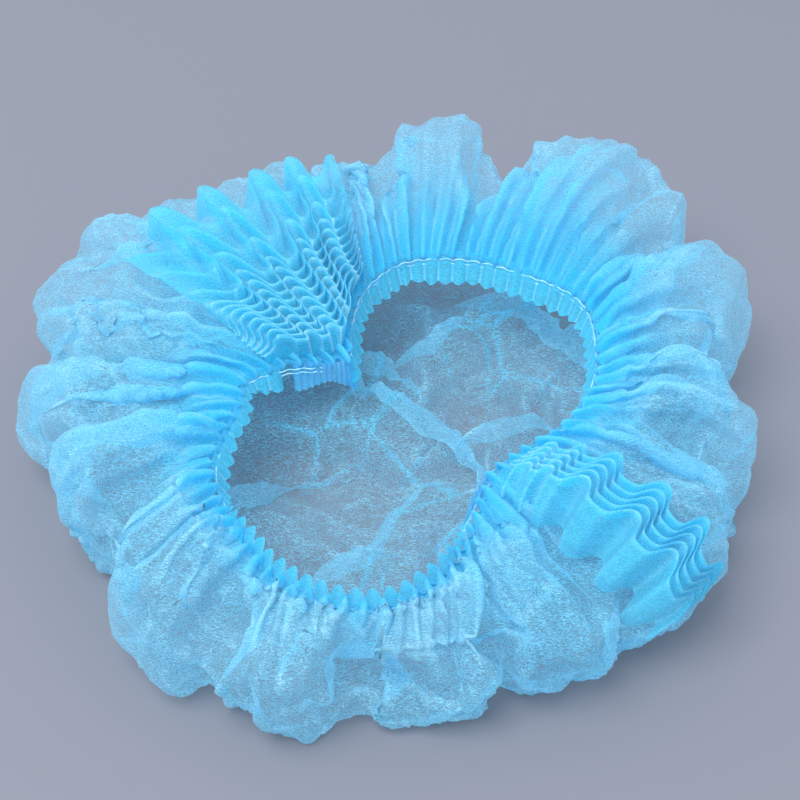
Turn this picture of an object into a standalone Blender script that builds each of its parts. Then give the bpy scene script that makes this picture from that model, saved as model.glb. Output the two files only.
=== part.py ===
"""A disposable bouffant cap of pleated non-woven cloth, lying on a table with its opening up.

Metres, +Z up. The cap is laid out around the middle of its opening: an angle in degrees, anticlockwise
from +X seen from above, and a reach outwards from that middle. What is laid out is moved so that the
middle of the crown's box stands on the origin, with the table at Z = 0.
"""

import math

import bpy
from mathutils import Vector

# The cap as a whole
CAP_REACH = 0.150  # middle of the opening to the widest puff
CAP_HEIGHT = 0.072  # table to the crest of a tall puff
OPENING_REACH = 0.095  # middle of the opening to the far end of its longer lobe
RIM_HEIGHT = 0.052  # table to the elastic where it lies highest
SEAT_GAP = 0.0003  # clearance between neighbouring pieces

# Cloth and elastic
CLOTH_WALL = 0.001
ELASTIC_WIDTH = 0.003
ELASTIC_THICKNESS = 0.0008
HEM_DROP = 0.009  # elastic to the free edge of the hem
HEM_LEAN = 0.003  # how far the free edge stands into the opening
HEM_RUFFLE = 0.0011  # how far each ruffle of the hem swings to each side
HEM_PITCH = 0.0064  # one ruffle to the next along the elastic

# Folds of the crown
GATHER_PITCH = 0.020  # one gather to the next along the elastic
GATHER_DEPTH = 0.003
NOTCH_DEPTH = 0.016  # the deepest notch between two puffs
CREASE_HEIGHT = 0.011  # the tallest crease of the bottom
REST_RING = 0.88  # the bottom lies flat outside this share of the foot's reach

# Bunched pleats over the two welded ends, and the welded ends themselves
PLEAT_HEIGHT = 0.010
PLEAT_INNER_SHARE = 0.45  # height at the end beside the opening, share of PLEAT_HEIGHT
PLEAT_LEANS = (-0.35, 0.60)  # outward lean of the folds beside the opening and at the far end
PLEAT_WAVE = 0.0018  # how far a fold's edge swings to each side
TAB_DROP = 0.011
TAB_LEAN = 0.0015
TAB_WALL = 0.0015

# Places along the rim, in degrees
SEAL_LEFT = 136
SEAL_RIGHT = 312
SEAL_SPACE = 2  # from a seal to the end of each elastic
TAB_LEFT = (SEAL_LEFT + 2, SEAL_LEFT + 22)
TAB_RIGHT = (SEAL_RIGHT - 16, SEAL_RIGHT - 3)
TAB_SPACE = 2  # from a tab to the end of the hem beside it

# Faces
COLUMNS = 112  # around the crown's wall
BOTTOM_RINGS = ((REST_RING, 1), (0.76, 2), (0.62, 2), (0.48, 2), (0.34, 4), (0.18, 4))  # reach, columns to a point
FOLD_STEPS = 2  # faces along a bunched pleat for each row of the crown under it
FOLD_WAVE_STEPS = 4  # faces to each wave of a bunched pleat

# One row for each section through the rim and the puff outside it
SECTION_COLUMNS = (
    "angle",  # degrees
    "rim",  # reach of the elastic, share of OPENING_REACH
    "rim_height",  # share of RIM_HEIGHT
    "crest",  # where the crest lies, share of the way from the rim to the widest reach
    "crest_height",  # share of CAP_HEIGHT
    "outer",  # widest reach, share of CAP_REACH
    "outer_height",  # share of CAP_HEIGHT
    "foot",  # where the cloth meets the table, share of the widest reach
)
SECTIONS = (
    (0, 0.71, 1.00, 0.45, 0.84, 0.85, 0.40, 0.84),
    (18, 0.79, 1.00, 0.45, 0.88, 0.90, 0.41, 0.84),
    (36, 0.87, 1.00, 0.45, 0.95, 1.01, 0.45, 0.83),
    (54, 0.83, 1.00, 0.50, 1.04, 1.10, 0.50, 0.80),
    (72, 0.80, 1.00, 0.50, 1.04, 1.06, 0.50, 0.80),
    (90, 0.75, 0.98, 0.50, 1.02, 1.05, 0.50, 0.80),
    (104, 0.62, 0.96, 0.45, 0.95, 0.97, 0.48, 0.80),
    (116, 0.46, 0.94, 0.42, 0.81, 0.88, 0.43, 0.84),
    (130, 0.32, 0.92, 0.42, 0.76, 0.88, 0.40, 0.84),
    (144, 0.34, 0.92, 0.42, 0.75, 0.91, 0.39, 0.84),
    (158, 0.46, 0.94, 0.42, 0.78, 0.96, 0.39, 0.84),
    (172, 0.58, 0.96, 0.45, 0.82, 0.94, 0.38, 0.84),
    (190, 0.62, 0.96, 0.45, 0.82, 0.87, 0.37, 0.84),
    (210, 0.77, 0.94, 0.38, 0.77, 0.84, 0.35, 0.86),
    (230, 0.85, 0.90, 0.32, 0.73, 0.85, 0.31, 0.88),
    (250, 0.95, 0.88, 0.28, 0.69, 0.84, 0.29, 0.91),
    (266, 0.94, 0.86, 0.28, 0.67, 0.78, 0.28, 0.92),
    (280, 0.82, 0.86, 0.32, 0.67, 0.77, 0.28, 0.89),
    (294, 0.62, 0.86, 0.40, 0.68, 0.77, 0.30, 0.86),
    (312, 0.49, 0.88, 0.45, 0.70, 0.81, 0.32, 0.86),
    (330, 0.53, 0.92, 0.45, 0.74, 0.84, 0.35, 0.85),
    (345, 0.62, 0.96, 0.45, 0.80, 0.85, 0.37, 0.84),
)

# Notches between two puffs: angle and half width in degrees, depth as a share of NOTCH_DEPTH
NOTCHES = (
    (11, 5, 0.45),
    (37, 6, 0.90),
    (72, 6, 0.90),
    (93, 5, 0.70),
    (168, 4, 0.50),
    (187, 5, 0.95),
    (207, 6, 0.60),
    (236, 5, 0.45),
    (262, 5, 0.75),
    (289, 4, 0.60),
    (348, 5, 0.40),
)

# Creases of the bottom: X and Y of both ends, and the half width, as shares of CAP_REACH, with the
# height as a share of CREASE_HEIGHT before the half width
CREASES = (
    (-0.38, 0.20, -0.10, 0.14, 0.90, 0.20),
    (-0.10, 0.14, 0.14, -0.08, 1.00, 0.20),
    (0.10, 0.62, 0.34, 0.48, 0.90, 0.20),
    (0.34, 0.48, 0.46, 0.28, 1.00, 0.20),
)

# Stacks of pleats: from and to in degrees, crown columns to a pleat, first and last row of WALL_ROWS
PLEAT_STACKS = {
    "pleat_stack_left": (108, 162, 2, 2, 9),
    "pleat_stack_right": (303, 333, 1, 3, 9),
}
STACK_MARGIN = 12  # degrees beside a stack in which the crown's folds fade out

# The crown's wall: how much of a gather and of a notch shows at each point that its section runs
# through, from the elastic to the table, and where between those points its rows of faces lie
GATHER_SHARES = (0, 0, 0.9, 1.0, 0.7, 0.45, 0.2, 0)
NOTCH_SHARES = (0, 0, 0.1, 0.6, 0.9, 1.0, 0.7, 0.35)
WALL_ROWS = (0, 1, 1.5, 2, 2.5, 3, 3.5, 4, 4.5, 5, 5.5, 6, 6.5, 7)

# Colours of the cloth and the elastic
CROWN_BLUE = (0.33, 0.68, 0.90)
GATHERED_BLUE = (0.20, 0.66, 0.97)
WELDED_BLUE = (0.16, 0.55, 0.85)
ELASTIC_WHITE = (0.80, 0.84, 0.90)


def between(first, last, share):
    return first + (last - first) * share


def smooth_through(before, first, last, after, share):
    """The Catmull-Rom curve from first to last."""
    return 0.5 * (
        2 * first
        + (last - before) * share
        + (2 * before - 5 * first + 4 * last - after) * share**2
        + (3 * first - before - 3 * last + after) * share**3
    )


def bump(offset, half_width):
    """1 in the middle, falling smoothly to 0 at the half width."""
    return 0.5 + 0.5 * math.cos(math.pi * min(1, abs(offset) / half_width))


def turn_between(angle, other):
    return (angle - other + 180) % 360 - 180


def at(angle, reach, height):
    turn = math.radians(angle)
    return Vector((reach * math.cos(turn), reach * math.sin(turn), height))


def section(name, angle):
    """A column of the section table at any angle, smooth through its rows all the way round."""
    column = SECTION_COLUMNS.index(name)
    count = len(SECTIONS)
    angle = angle % 360
    last = next((k for k, row in enumerate(SECTIONS) if row[0] > angle), count)
    start = SECTIONS[last - 1][0]
    end = SECTIONS[last][0] if last < count else 360
    around = [SECTIONS[(last + step) % count][column] for step in (-2, -1, 0, 1)]
    return smooth_through(*around, (angle - start) / (end - start))


def rim(angle):
    """The middle of the elastic."""
    return at(angle, OPENING_REACH * section("rim", angle), RIM_HEIGHT * section("rim_height", angle))


def rim_outwards(angle):
    """The level direction square to the elastic, away from the opening."""
    along = rim(angle + 0.5) - rim(angle - 0.5)
    return Vector((along.y, -along.x, 0)).normalized()


def rim_length(first, last):
    """Length of the elastic from one angle to another."""
    steps = max(2, round(last - first))
    points = [rim(between(first, last, step / steps)) for step in range(steps + 1)]
    return sum((b - a).length for a, b in zip(points, points[1:]))


def foot_reach(angle):
    return CAP_REACH * section("outer", angle) * section("foot", angle)


def plain_under_stack(angle):
    """0 under a stack of pleats, where the crown has no folds of its own, rising to 1 beside it."""
    cover = 0
    for low, high, *_ in PLEAT_STACKS.values():
        past_edge = abs(turn_between(angle, (low + high) / 2)) - (high - low) / 2
        cover = max(cover, bump(max(0, past_edge), STACK_MARGIN))
    return 1 - cover


def notch(angle):
    return sum(depth * bump(turn_between(angle, middle), half) for middle, half, depth in NOTCHES)


def wall_controls(angle, gather):
    """The points (reach, height) that the wall runs through at one angle, pressed in by its folds."""
    lower = rim(angle).z - ELASTIC_WIDTH / 2
    upper = rim(angle).z + ELASTIC_WIDTH / 2
    rim_reach = OPENING_REACH * section("rim", angle)
    outer = CAP_REACH * section("outer", angle)
    outer_height = CAP_HEIGHT * section("outer_height", angle)
    crest = between(rim_reach, outer, section("crest", angle))
    crest_height = CAP_HEIGHT * section("crest_height", angle)
    foot = foot_reach(angle)
    diagonal = math.sin(math.pi / 4)
    shape = (
        (rim_reach, lower),
        (rim_reach, upper),
        (between(rim_reach, crest, 0.4), between(upper, crest_height, 0.6)),
        (crest, crest_height),
        (between(crest, outer, diagonal), between(outer_height, crest_height, diagonal)),
        (outer, outer_height),
        (between(foot, outer, diagonal), outer_height * (1 - diagonal)),
        (foot, 0),
    )
    core = Vector((between(rim_reach, outer, 0.5), crest_height / 2))
    controls = []
    for point, gather_share, notch_share in zip(shape, GATHER_SHARES, NOTCH_SHARES):
        depth = GATHER_DEPTH * gather * gather_share + NOTCH_DEPTH * notch(angle) * notch_share
        inwards = (core - Vector(point)).normalized()
        controls.append(Vector(point) + inwards * depth * plain_under_stack(angle))
    return controls


def wall_column(angle, gather):
    """One column of the crown's outer skin, from the elastic down to the table."""
    controls = wall_controls(angle, gather)
    rest = Vector((foot_reach(angle) * REST_RING, 0))
    route = [controls[0], *controls, rest]
    beside_elastic = rim_outwards(angle) * (ELASTIC_THICKNESS / 2 + SEAT_GAP)
    column = []
    for row in WALL_ROWS:
        start = min(int(row), len(controls) - 2)
        reach, height = smooth_through(*route[start : start + 4], row - start)
        if row <= 1:
            reach, height = controls[row]
        column.append(at(angle, reach, max(0, height)) + beside_elastic * min(1, max(0, 2 - row)))
    return column


def wall_columns():
    """The wall's columns around the cap, with the gathers evenly spaced along the elastic."""
    turn = 360 / COLUMNS
    steps = [rim_length(turn * k, turn * (k + 1)) for k in range(COLUMNS)]
    gathers = round(sum(steps) / GATHER_PITCH)
    walked = 0
    columns = []
    for k, step in enumerate(steps):
        gather = 0.5 - 0.5 * math.cos(math.tau * gathers * walked / sum(steps))
        columns.append(wall_column(turn * k, gather))
        walked += step
    return columns


def crease_height(point, share):
    """Height of the bottom's creases, which fade out before the ring that lies flat on the table."""
    height = 0
    for x_start, y_start, x_end, y_end, share_of_height, half_width in CREASES:
        start = Vector((x_start, y_start, 0)) * CAP_REACH
        run = Vector((x_end, y_end, 0)) * CAP_REACH - start
        along = min(1, max(0, (point - start).dot(run) / run.length_squared))
        away = (point - start - run * along).length
        height = max(height, CREASE_HEIGHT * share_of_height * bump(away, half_width * CAP_REACH))
    return height * bump(max(0, share - BOTTOM_RINGS[2][0]), REST_RING - BOTTOM_RINGS[2][0])


def bottom_ring(share, columns_to_a_point):
    ring = []
    for column in range(0, COLUMNS, columns_to_a_point):
        angle = 360 * column / COLUMNS
        point = at(angle, foot_reach(angle) * share, 0)
        point.z = crease_height(point, share)
        ring.append(point)
    return ring


def join_rings(faces, outer, inner):
    """Fills between two rings, where the inner one has as many points, half as many or one."""
    count = len(outer)
    for k in range(count):
        after = (k + 1) % count
        if len(inner) == 1:
            faces.append((outer[after], outer[k], inner[0]))
        elif len(inner) == count:
            faces.append((outer[after], outer[k], inner[k], inner[after]))
        elif k % 2 == 0:
            here = inner[k // 2]
            beside = inner[(k // 2 + 1) % len(inner)]
            faces.append((outer[after], outer[k], here))
            faces.append((outer[(k + 2) % count], outer[after], beside))
            faces.append((beside, outer[after], here))


def grid_faces(columns, rows, around=False):
    """Quads of a grid that is numbered row by row within each column."""
    faces = []
    for column in range(columns if around else columns - 1):
        here = column * rows
        after = (column + 1) % columns * rows
        faces += [(here + row, here + row + 1, after + row + 1, after + row) for row in range(rows - 1)]
    return faces


def matt_material(name, colour):
    material = bpy.data.materials.new(name)
    material.use_nodes = True
    shader = material.node_tree.nodes["Principled BSDF"]
    shader.inputs["Base Color"].default_value = (*colour, 1)
    shader.inputs["Roughness"].default_value = 0.7
    shader.inputs["Metallic"].default_value = 0
    return material


def add_sheet(name, points, faces, wall, side, colour):
    """An open surface that Solidify makes a wall, in front of its faces (side 1) or behind (side -1)."""
    mesh = bpy.data.meshes.new(name)
    mesh.from_pydata([tuple(point - MIDDLE) for point in points], [], faces)
    mesh.shade_smooth()
    mesh.set_sharp_from_angle(angle=math.radians(50))
    mesh.materials.append(matt_material(name, colour))
    sheet = bpy.data.objects.new(name, mesh)
    solidify = sheet.modifiers.new("wall", "SOLIDIFY")
    solidify.thickness = wall
    solidify.offset = side
    CAP.objects.link(sheet)


def add_crown(columns):
    """The bag: the puffed wall, the flat ring that it rests on and the creased bottom."""
    rows = len(WALL_ROWS)
    points = [point for column in columns for point in column]
    faces = grid_faces(COLUMNS, rows, around=True)
    outer = [column * rows + rows - 1 for column in range(COLUMNS)]
    for share, columns_to_a_point in BOTTOM_RINGS:
        ring = bottom_ring(share, columns_to_a_point)
        inner = range(len(points), len(points) + len(ring))
        points += ring
        join_rings(faces, outer, inner)
        outer = inner
    points.append(at(0, 0, crease_height(at(0, 0, 0), 0)))
    join_rings(faces, outer, [len(points) - 1])
    add_sheet("crown_panel", points, faces, CLOTH_WALL, -1, CROWN_BLUE)


def add_rim_strip(name, first, last, edge, wall, colour):
    """A strip along the rim from one angle to another, of the lower and upper points that edge gives."""
    steps = 2 * max(1, round(rim_length(first, last) / HEM_PITCH))
    points = []
    for step in range(steps + 1):
        points += edge(between(first, last, step / steps), step, steps)
    add_sheet(name, points, grid_faces(steps + 1, 2), wall, 1, colour)


def elastic_edge(angle, step, steps):
    outside = rim(angle) + rim_outwards(angle) * ELASTIC_THICKNESS / 2
    half = Vector((0, 0, ELASTIC_WIDTH / 2))
    return [outside - half, outside + half]


def inside_elastic(angle, lean, drop):
    """Lower and upper point of what hangs from the elastic into the opening."""
    outwards = rim_outwards(angle)
    upper = rim(angle) - outwards * (ELASTIC_THICKNESS / 2 + SEAT_GAP) + Vector((0, 0, ELASTIC_WIDTH / 2))
    return [upper - outwards * lean - Vector((0, 0, drop)), upper]


def hem_edge(angle, step, steps):
    """The hem is folded to and fro at its free edge."""
    swing = HEM_RUFFLE if step % 2 else -HEM_RUFFLE
    return inside_elastic(angle, HEM_LEAN + swing, HEM_DROP)


def tab_edge(angle, step, steps):
    """A welded end hangs nearly straight down, with a point at the end beside its seal."""
    return inside_elastic(angle, TAB_LEAN, TAB_DROP * between(0.8, 1.2, bump(step / steps, 0.3)))


def add_pleat_stack(name, low, high, columns_to_a_pleat, first_row, last_row, columns):
    """Accordion folds that sit on the crown: each valley on one of its columns, each fold edge between."""
    turn = 360 / COLUMNS
    first_column = math.ceil(low / turn)
    pleats = round((high - low) / turn / columns_to_a_pleat)
    along = FOLD_STEPS * (last_row - first_row)
    points = []
    for order in range(2 * pleats + 1):
        column = first_column + order * columns_to_a_pleat / 2
        neighbours = columns[math.floor(column)], columns[math.ceil(column)]
        sideways = at(column * turn + 90, 1, 0)
        outwards = at(column * turn, 1, 0)
        for step in range(along + 1):
            row = min(first_row + step // FOLD_STEPS, last_row - 1)
            share = first_row + step / FOLD_STEPS - row
            seats = [between(*neighbour[row : row + 2], share) for neighbour in neighbours]
            point = between(*seats, 0.5)
            up = (Vector((0, 0, 1)) + outwards * between(*PLEAT_LEANS, step / along)).normalized()
            if order % 2:
                point += up * PLEAT_HEIGHT * between(PLEAT_INNER_SHARE, 1, step / along)
                point += sideways * PLEAT_WAVE * math.sin(math.tau * step / FOLD_WAVE_STEPS)
            elif order in (0, 2 * pleats):
                point += up * (SEAT_GAP + CLOTH_WALL)
            else:
                point += up * SEAT_GAP
            points.append(point)
    add_sheet(name, points, grid_faces(2 * pleats + 1, along + 1), CLOTH_WALL, 1, GATHERED_BLUE)


def middle_of(columns):
    """The middle of the crown's box, at table height."""
    middle = Vector((0, 0, 0))
    for axis in (0, 1):
        spread = [point[axis] for column in columns for point in column]
        middle[axis] = (min(spread) + max(spread)) / 2
    return middle


for leftover in list(bpy.data.objects):
    bpy.data.objects.remove(leftover)
CAP = bpy.data.collections.new("bouffant_cap")
bpy.context.scene.collection.children.link(CAP)

crown = wall_columns()
MIDDLE = middle_of(crown)
add_crown(crown)

elastic_front = (SEAL_LEFT + SEAL_SPACE, SEAL_RIGHT - SEAL_SPACE)
elastic_back = (SEAL_RIGHT + SEAL_SPACE, SEAL_LEFT + 360 - SEAL_SPACE)
add_rim_strip("elastic_front", *elastic_front, elastic_edge, ELASTIC_THICKNESS, ELASTIC_WHITE)
add_rim_strip("elastic_back", *elastic_back, elastic_edge, ELASTIC_THICKNESS, ELASTIC_WHITE)

hem_front = (TAB_LEFT[1] + TAB_SPACE, TAB_RIGHT[0] - TAB_SPACE)
add_rim_strip("hem_front", *hem_front, hem_edge, CLOTH_WALL, GATHERED_BLUE)
add_rim_strip("hem_back", *elastic_back, hem_edge, CLOTH_WALL, GATHERED_BLUE)

add_rim_strip("end_tab_left", *TAB_LEFT, tab_edge, TAB_WALL, WELDED_BLUE)
add_rim_strip("end_tab_right", *TAB_RIGHT, tab_edge, TAB_WALL, WELDED_BLUE)

for name, stack in PLEAT_STACKS.items():
    add_pleat_stack(name, *stack, crown)
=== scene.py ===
"""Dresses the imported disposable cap: spunbond cloth, elastic threads, bunched pleats and welded ends.

Metres, +Z up. Places are laid out around the middle of the opening, as in the part: an angle in
degrees, anticlockwise from +X seen from above, and a reach outwards from that middle. A place on the
wall of the bag is a row from 0, at the elastic, over 3, at the crest, to 7, on the table.
"""

import math

import bpy
import numpy as np
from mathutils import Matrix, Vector, noise


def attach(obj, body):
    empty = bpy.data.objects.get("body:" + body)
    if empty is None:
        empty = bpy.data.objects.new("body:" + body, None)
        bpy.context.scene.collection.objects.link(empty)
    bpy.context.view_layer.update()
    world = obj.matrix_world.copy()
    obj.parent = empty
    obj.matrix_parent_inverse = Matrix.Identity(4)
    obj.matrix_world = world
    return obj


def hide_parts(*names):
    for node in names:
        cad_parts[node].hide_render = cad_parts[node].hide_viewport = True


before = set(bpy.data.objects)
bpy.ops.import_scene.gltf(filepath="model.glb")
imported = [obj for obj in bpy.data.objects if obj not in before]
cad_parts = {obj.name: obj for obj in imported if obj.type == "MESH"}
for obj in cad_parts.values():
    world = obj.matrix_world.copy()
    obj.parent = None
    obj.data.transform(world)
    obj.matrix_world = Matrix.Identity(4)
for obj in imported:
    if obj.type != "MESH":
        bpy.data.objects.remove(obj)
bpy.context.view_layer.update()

# The crown: one pleated rectangle of spunbond polypropylene, welded at both ends. Off the head it
# falls open as a shallow bag that puffs out all round the elastic. The elastic's pull bunches the
# cloth into some eighty small pleats, which run together into fewer and wider folds further out.
CAP_REACH = 0.146
CAP_HEIGHT = 0.072
OPENING_REACH = 0.095
OPENING_MIDDLE = Vector((0.0052, -0.0195, 0))
RIM_HEIGHT = 0.052
ELASTIC_WIDTH = 0.003
NOTCH_DEPTH = 0.016
# The wall's curve runs on under the cap towards this share of the foot's reach
REST_RING = 0.88
RIM_PLEATS = 84
RIM_PLEAT_DEPTH = 0.0026
# The base lies this far inside, since the simulation swells it again
ROOM_TO_SWELL = 0.003
# Folds are full size where the wall is this wide, and smaller where it is narrower
FOLD_ROOM = 0.060
# Folds that go round are read from noise along a circle, of this radius for each of them
NOISE_TO_A_FOLD = 0.22
# How much of a puff's swelling in the simulation is taken out again
SWELL_TAKEN = 0.92
COARSE_COLUMNS = 360
COARSE_STEPS = 43

# Sections through the rim and the puff outside it, the columns as named below. All but the angle are
# shares: rim of OPENING_REACH, its height of RIM_HEIGHT, crest of the way from rim to outer, outer of
# CAP_REACH, the other heights of CAP_HEIGHT, foot of the outer reach.
SECTIONS = (
    (0, 0.71, 1.00, 0.45, 0.84, 0.85, 0.40, 0.84),
    (18, 0.79, 1.00, 0.45, 0.88, 0.90, 0.41, 0.84),
    (36, 0.87, 1.00, 0.45, 0.95, 1.01, 0.45, 0.83),
    (54, 0.83, 1.00, 0.50, 1.04, 1.10, 0.50, 0.80),
    (72, 0.80, 1.00, 0.50, 0.98, 1.03, 0.50, 0.80),
    (90, 0.75, 0.98, 0.50, 0.97, 1.00, 0.50, 0.80),
    (104, 0.62, 0.96, 0.52, 0.94, 0.97, 0.50, 0.80),
    (116, 0.46, 0.94, 0.58, 0.91, 0.93, 0.52, 0.84),
    (130, 0.32, 0.92, 0.62, 0.90, 0.97, 0.52, 0.84),
    (144, 0.34, 0.92, 0.62, 0.88, 1.02, 0.50, 0.84),
    (158, 0.46, 0.94, 0.54, 0.85, 1.00, 0.45, 0.84),
    (172, 0.58, 0.96, 0.48, 0.83, 0.94, 0.40, 0.84),
    (190, 0.62, 0.96, 0.45, 0.82, 0.87, 0.37, 0.84),
    (210, 0.77, 0.94, 0.38, 0.77, 0.84, 0.35, 0.86),
    (230, 0.85, 0.90, 0.32, 0.73, 0.83, 0.31, 0.88),
    (250, 0.95, 0.88, 0.28, 0.69, 0.82, 0.29, 0.91),
    (266, 0.94, 0.86, 0.28, 0.67, 0.76, 0.28, 0.92),
    (280, 0.82, 0.86, 0.32, 0.67, 0.76, 0.28, 0.89),
    (294, 0.62, 0.86, 0.40, 0.68, 0.77, 0.30, 0.86),
    (312, 0.49, 0.88, 0.45, 0.70, 0.81, 0.32, 0.86),
    (330, 0.53, 0.92, 0.45, 0.74, 0.84, 0.35, 0.85),
    (345, 0.62, 0.96, 0.45, 0.80, 0.85, 0.37, 0.84),
)
SECTION_COLUMNS = ("angle", "rim", "rim_height", "crest", "crest_height", "outer", "outer_height", "foot")

# Notches between two puffs: angle, half width in degrees, share of NOTCH_DEPTH. NOTCH_SHARES is how
# much of a notch shows at each of the eight places that a section runs through, rim to table.
NOTCHES = (
    (11, 5, 0.45),
    (37, 6, 0.90),
    (72, 6, 0.90),
    (93, 5, 0.70),
    (170, 7, 0.35),
    (187, 5, 0.95),
    (207, 6, 0.60),
    (236, 5, 0.45),
    (262, 5, 0.75),
    (289, 4, 0.60),
    (348, 5, 0.40),
)
NOTCH_SHARES = (0, 0, 0.1, 0.6, 0.9, 1.0, 0.7, 0.35)

# Folds that run out from the elastic, laid before the simulation: how many go round, depth, sharp
# ridge (1) or sharp valley (-1), how much shows at each of the eight places
FOLDS = (
    (40, 0.0030, 1, (0.0, 0.3, 1.0, 0.8, 0.45, 0.3, 0.2, 0.1)),
    (24, 0.0050, -1, (0.0, 0.1, 0.6, 1.0, 0.9, 0.8, 0.6, 0.3)),
    (12, 0.0055, -1, (0.0, 0.0, 0.2, 0.6, 1.0, 1.0, 0.8, 0.3)),
)
# Finer ones, laid after the simulation, with the same columns
FINE_FOLDS = (
    (64, 0.0010, 1, (0.0, 0.0, 0.5, 1.0, 0.7, 0.5, 0.3, 0.2)),
    (36, 0.0014, 1, (0.0, 0.0, 0.3, 1.0, 1.0, 0.9, 0.6, 0.3)),
    (26, 0.0016, -1, (0.0, 0.0, 0.2, 0.8, 1.0, 1.0, 0.7, 0.3)),
)
# Crumples without a direction, before and after the simulation: size, depth, how much shows at each
# of the eight places
CRUMPLES = ((0.034, 0.0040, (0.0, 0.0, 0.2, 0.8, 1.0, 1.0, 0.8, 0.3)),)
FINE_CRUMPLES = (
    (0.018, 0.0012, (0.0, 0.0, 0.2, 0.8, 1.0, 1.0, 0.8, 0.4)),
    (0.007, 0.0002, (0.0, 0.0, 0.3, 0.8, 1.0, 1.0, 0.8, 0.5)),
)
# Thin straight creases where the cloth was pressed in the packet: spacing, height, half width, seed,
# how much shows at each of the eight places
CREASES = (
    (0.040, 0.0010, 0.0010, 3, (0.0, 0.0, 0.2, 0.8, 1.0, 1.0, 1.0, 0.4)),
    (0.031, 0.0006, 0.0009, 4, (0.0, 0.0, 0.2, 0.7, 0.8, 0.8, 0.8, 0.4)),
)
# Where the cloth can't swell as freely, under and beside the stacks and along the front rim: angle,
# half width in degrees, how firmly it is held, how much of that at each of the eight places
HELD_BY = (
    (140, 46, 0.3, (1, 1, 1, 1, 0.5, 0, 0, 0)),
    (317, 24, 0.3, (1, 1, 1, 1, 0.5, 0, 0, 0)),
    (164, 18, 0.7, (1, 1, 1, 1, 0.6, 0.2, 0, 0)),
    (104, 14, 0.6, (1, 1, 1, 1, 1, 0.8, 0.4, 0)),
    (258, 62, 0.8, (1, 1, 1, 0.7, 0.2, 0, 0, 0)),
)
# How firmly it is held anywhere, at each of the eight places
HELD_ROUND = (1, 1, 0.40, 0.12, 0.08, 0.08, 0.2, 1)


def mix(first, last, share):
    """The value at a share of the way from first to last."""
    return first + (last - first) * share


def smooth_through(before, first, last, after, share):
    """The Catmull-Rom curve from first to last."""
    return 0.5 * (
        2 * first
        + (last - before) * share
        + (2 * before - 5 * first + 4 * last - after) * share**2
        + (3 * first - before - 3 * last + after) * share**3
    )


def bump(offset, half_width):
    """1 in the middle, falling smoothly to 0 at the half width."""
    return 0.5 + 0.5 * np.cos(math.pi * np.minimum(1, np.abs(offset) / half_width))


def turn_between(angle, other):
    """The turn from one angle to another, from -180 to 180 degrees."""
    return (angle - other + 180) % 360 - 180


def section(name, angle):
    """A column of the section table at any angle, smooth all the way round."""
    column = SECTION_COLUMNS.index(name)
    starts = np.array([row[0] for row in SECTIONS], float)
    values = np.array([row[column] for row in SECTIONS], float)
    angle = np.mod(angle, 360)
    last = np.searchsorted(starts, angle, side="right")
    share = (angle - starts[last - 1]) / (np.append(starts, 360)[last] - starts[last - 1])
    around = [values[(last + step) % len(values)] for step in (-2, -1, 0, 1)]
    return smooth_through(*around, share)


def place(angle, reach, height):
    """Points of the part's own frame from the layout around the opening's middle."""
    turn = np.radians(angle)
    flat = np.stack([reach * np.cos(turn), reach * np.sin(turn), height + 0 * reach], axis=-1)
    return flat + np.array(OPENING_MIDDLE)


def shares_at(shares, row):
    """How much of a fold shows at a place between the eight that its shares are given for."""
    return np.interp(row, range(len(shares)), shares)


def crown_wall(angle, row):
    """The wall of the bag without its small folds."""
    rim_reach = OPENING_REACH * section("rim", angle)
    rim_height = RIM_HEIGHT * section("rim_height", angle)
    outer = CAP_REACH * section("outer", angle)
    outer_height = CAP_HEIGHT * section("outer_height", angle)
    crest = mix(rim_reach, outer, section("crest", angle))
    crest_height = CAP_HEIGHT * section("crest_height", angle)
    foot = outer * section("foot", angle)
    diagonal = math.sin(math.pi / 4)
    lower = rim_height - ELASTIC_WIDTH / 2
    upper = rim_height + ELASTIC_WIDTH / 2
    shape = (
        (rim_reach, lower),
        (rim_reach, upper),
        (mix(rim_reach, crest, 0.4), mix(upper, crest_height, 0.6)),
        (crest, crest_height),
        (mix(crest, outer, diagonal), mix(outer_height, crest_height, diagonal)),
        (outer, outer_height),
        (mix(foot, outer, diagonal), outer_height * (1 - diagonal)),
        (foot, 0 * foot),
    )
    core_reach = mix(rim_reach, outer, 0.5)
    core_height = crest_height / 2
    notch = sum(depth * bump(turn_between(angle, middle), half) for middle, half, depth in NOTCHES)
    reaches = []
    heights = []
    for (reach, height), notch_share in zip(shape, NOTCH_SHARES):
        away = np.hypot(core_reach - reach, core_height - height)
        pressed = NOTCH_DEPTH * notch * notch_share / away
        reaches.append(mix(reach, core_reach, pressed))
        heights.append(mix(height, core_height, pressed))
    reaches = np.stack([reaches[0], *reaches, foot * REST_RING], axis=-1)
    heights = np.stack([heights[0], *heights, 0 * foot], axis=-1)
    start = np.clip(row.astype(int), 0, len(shape) - 2)
    around = [(start + step)[..., None] for step in range(4)]
    reach = smooth_through(*[np.take_along_axis(reaches, k, -1)[..., 0] for k in around], row - start)
    height = smooth_through(*[np.take_along_axis(heights, k, -1)[..., 0] for k in around], row - start)
    return place(angle, reach, np.maximum(height, 0))


def outwards_of(surface, angle, row):
    """The unit normal of a surface of angle and row, away from its inside, and the way along the rim."""
    across = surface(angle + 0.4, row) - surface(angle - 0.4, row)
    along = surface(angle, np.minimum(row + 0.05, 7)) - surface(angle, np.maximum(row - 0.05, 0))
    normal = np.cross(across, along)
    normal /= np.linalg.norm(normal, axis=-1, keepdims=True) + 1e-12
    across /= np.linalg.norm(across, axis=-1, keepdims=True) + 1e-12
    return -normal, across


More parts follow.
